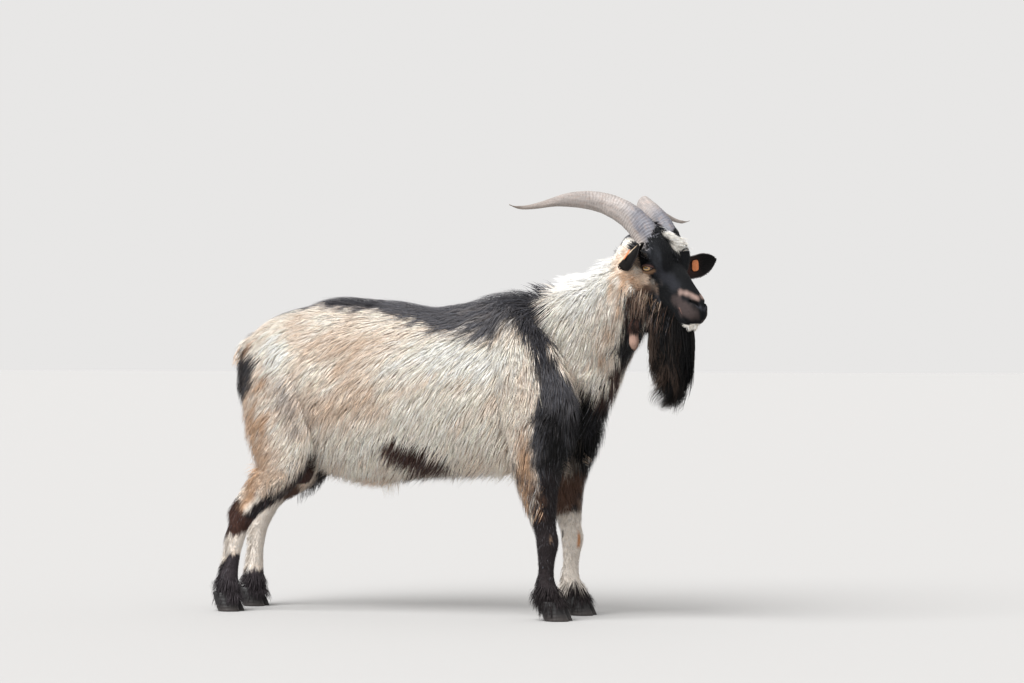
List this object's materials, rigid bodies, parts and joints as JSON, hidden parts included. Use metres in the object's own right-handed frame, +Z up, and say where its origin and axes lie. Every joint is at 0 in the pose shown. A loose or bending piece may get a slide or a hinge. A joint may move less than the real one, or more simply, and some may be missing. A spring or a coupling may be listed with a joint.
{
  "type": "goat",
  "caption": "Life-size still model of a long-haired billy goat standing square, head turned to its right, with wide swept horns, beard and wattles.",
  "frame": {"origin": "middle of the bounding box, on the floor the hooves stand on", "axes": "+X the way the goat's trunk points, +Y to the goat's left, +Z up"},
  "size_m": [1.2738, 0.565, 1.009],
  "materials": {
    "cream_coat": "long rough hair",
    "black_coat": "long sleek hair",
    "horn": "ridged horn, worn smooth towards the tip",
    "hoof": "dull dark horn",
    "amber_eye": "wet gloss",
    "ear_tag": "smooth moulded plastic, faded"
  },
  "bodies": {
    "root": {"head": "black_coat", "neck": "cream_coat", "trunk": "cream_coat", "tail": "black_coat", "foreleg_left": "cream_coat", "foreleg_right": "cream_coat", "hindleg_left": "cream_coat", "hindleg_right": "cream_coat", "hoof_fore_left_inner": "hoof", "hoof_fore_left_outer": "hoof", "hoof_fore_right_inner": "hoof", "hoof_fore_right_outer": "hoof", "hoof_hind_left_inner": "hoof", "hoof_hind_left_outer": "hoof", "hoof_hind_right_inner": "hoof", "hoof_hind_right_outer": "hoof", "horn_left": "horn", "horn_right": "horn", "ear_left": "black_coat", "ear_right": "black_coat", "eye_left": "amber_eye", "eye_right": "amber_eye", "beard": "black_coat", "wattle_left": "cream_coat", "wattle_right": "cream_coat", "scrotum": "cream_coat", "tag_left": "ear_tag", "tag_right": "ear_tag"}
  },
  "joints": []
}
